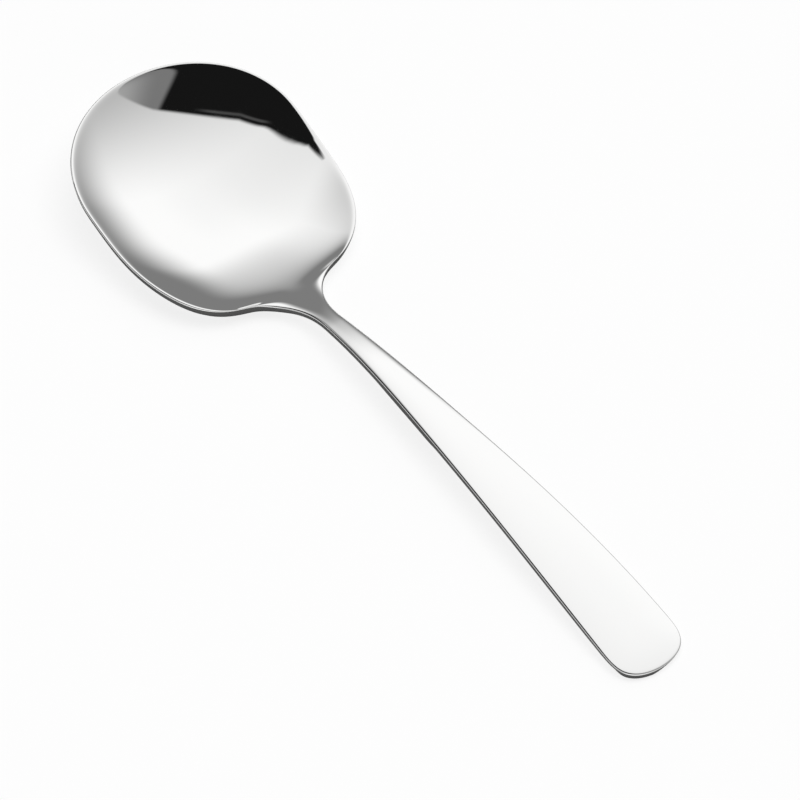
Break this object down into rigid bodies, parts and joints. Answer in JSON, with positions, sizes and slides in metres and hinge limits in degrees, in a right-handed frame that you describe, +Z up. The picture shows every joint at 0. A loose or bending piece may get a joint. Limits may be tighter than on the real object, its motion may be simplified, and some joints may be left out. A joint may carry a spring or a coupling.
{
  "type": "rice serving spoon",
  "caption": "Mirror-polished steel serving spoon with a wide shallow rounded bowl, a slim neck and an arched handle that widens to a rounded end.",
  "frame": {"origin": "middle of the spoon's length and width, on the table that it lies on", "axes": "+X along the spoon from the bowl's tip towards the handle's end, +Z up out of the open bowl, +Y to the left when looking along +X"},
  "size_m": [0.22, 0.072, 0.019],
  "materials": {
    "polished_steel": "stainless steel, mirror polished"
  },
  "bodies": {
    "root": {"bowl": "polished_steel", "handle": "polished_steel"}
  },
  "joints": []
}
